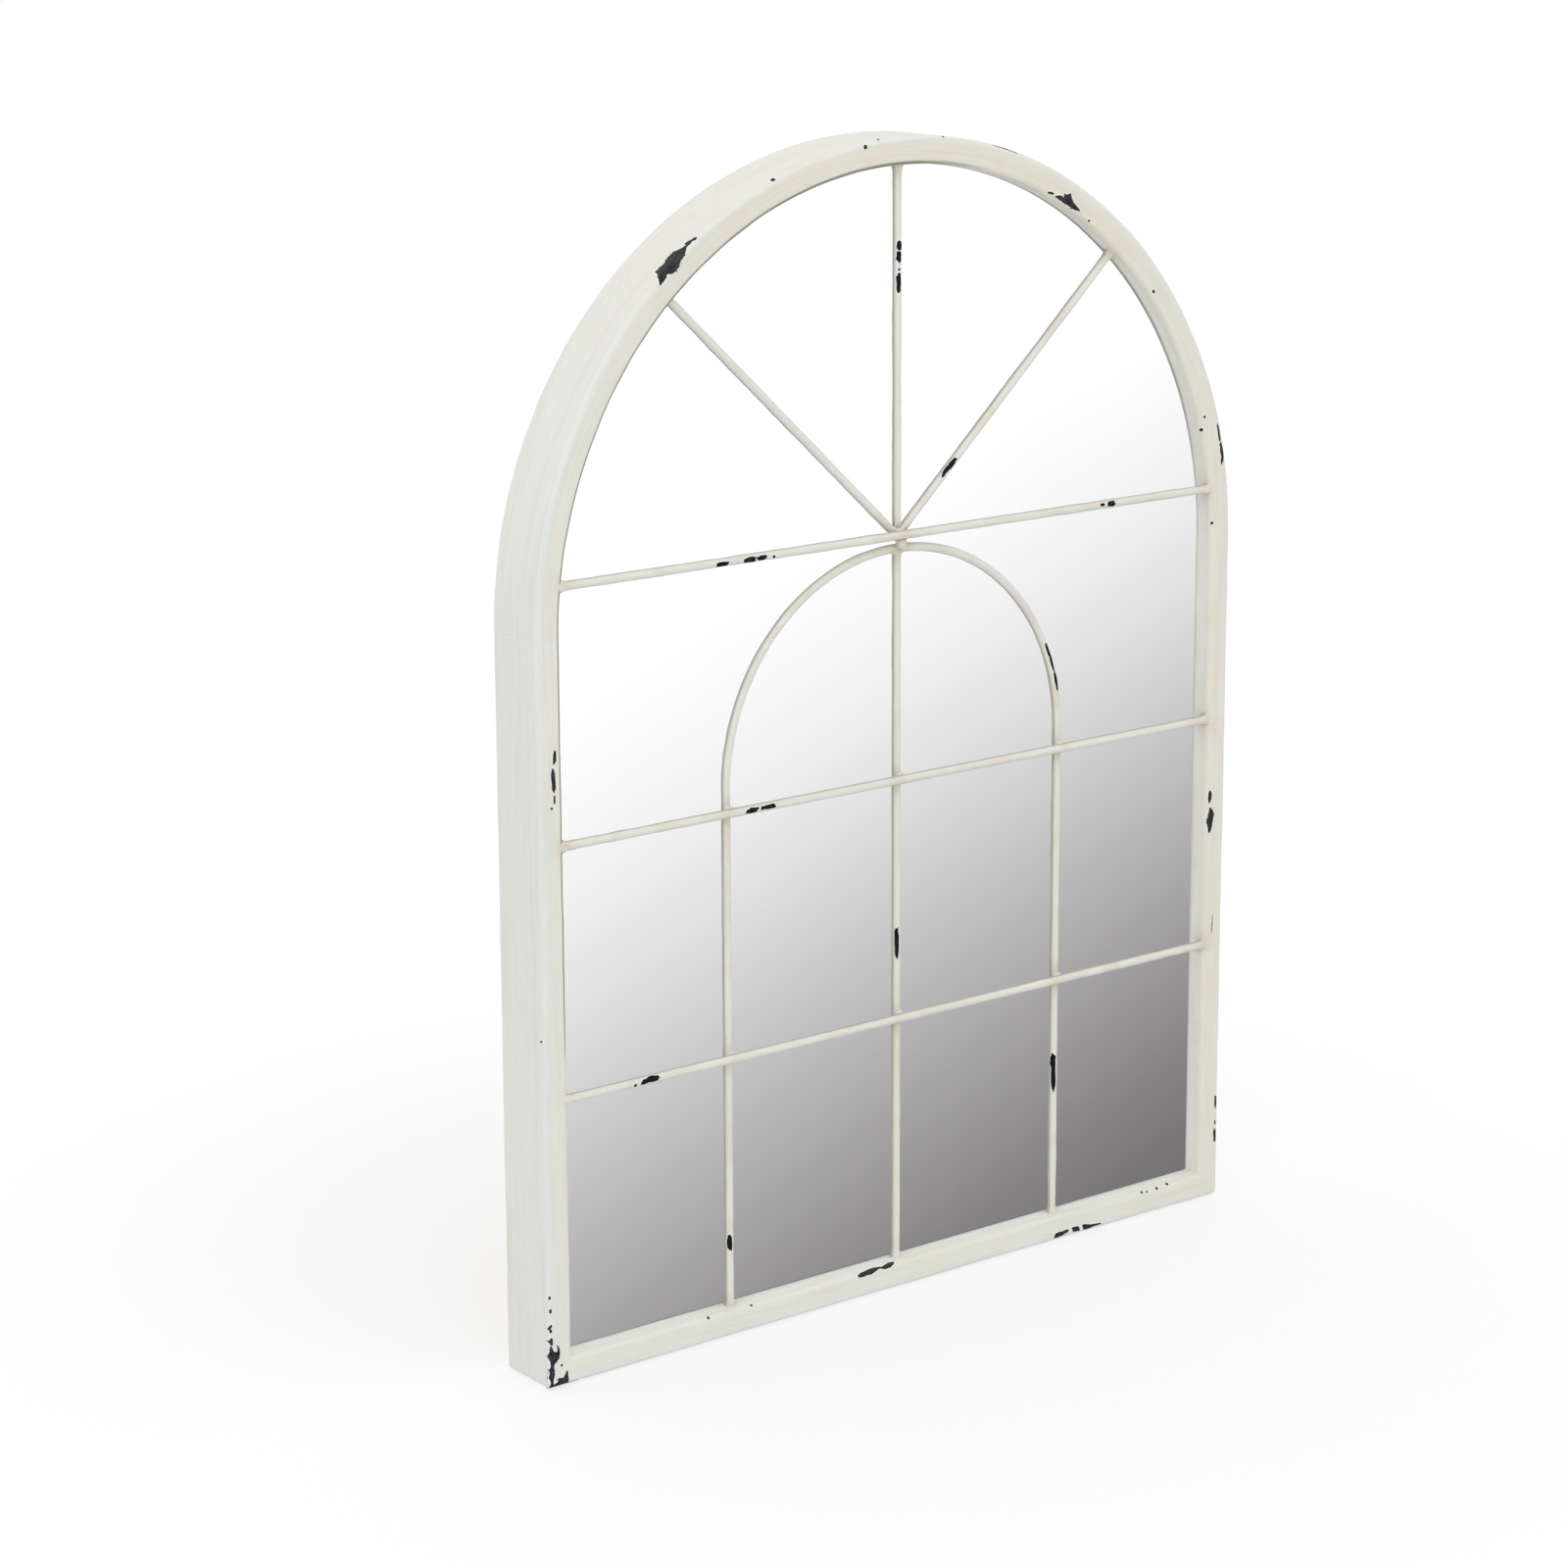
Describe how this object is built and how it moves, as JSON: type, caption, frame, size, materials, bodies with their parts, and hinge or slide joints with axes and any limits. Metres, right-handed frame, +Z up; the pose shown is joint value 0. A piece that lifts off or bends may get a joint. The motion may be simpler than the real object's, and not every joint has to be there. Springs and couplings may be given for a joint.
{
  "type": "arched window mirror",
  "caption": "Arched wall mirror: painted rectangular tube frame, welded round-rod lattice in front of the glass, and a fibreboard back with bent retaining tabs and swinging D-ring hangers",
  "frame": {"origin": "middle of the foot: x at mid-width, y at mid-depth, z on the underside of the bottom rail", "axes": "+Z up, front faces -Y, +X to the right of a person who looks at the front"},
  "size_m": [0.3048, 0.0254, 0.4064],
  "materials": {
    "paint": "brushed-on off-white paint, distressed and chipped at the arrises",
    "mirror": "clear silvered float glass",
    "fibreboard": "bare fibreboard",
    "zinc": "bright zinc plate"
  },
  "bodies": {
    "frame": {"left_stile": "paint", "right_stile": "paint", "bottom_rail": "paint", "arch_tube": "paint", "lower_cross_rod": "paint", "middle_cross_rod": "paint", "upper_cross_rod": "paint", "crown_rod": "paint", "fan_rod": "paint", "inner_arch_rod": "paint", "centre_rod": "paint", "mirror_glass": "mirror", "backing_board": "fibreboard", "tab_left_lower": "zinc", "tab_left_upper": "zinc", "tab_right_lower": "zinc", "tab_right_upper": "zinc", "tab_rail_left": "zinc", "tab_rail_right": "zinc", "tab_arch_left": "zinc", "tab_arch_crown": "zinc", "tab_arch_right": "zinc", "hanger_strap_left": "zinc", "hanger_strap_right": "zinc", "hanger_screw_left": "zinc", "hanger_screw_right": "zinc"},
    "ring_left": {"hanger_ring_left": "zinc"},
    "ring_right": {"hanger_ring_right": "zinc"}
  },
  "joints": [
    {"name": "ring_left_swing", "type": "hinge", "parent": "frame", "child": "ring_left", "pos_m": [-0.092, 0.00525, 0.286], "axis": [1, 0, 0], "range_deg": [0, 180]},
    {"name": "ring_right_swing", "type": "hinge", "parent": "frame", "child": "ring_right", "pos_m": [0.092, 0.00525, 0.286], "axis": [1, 0, 0], "range_deg": [0, 180]}
  ]
}
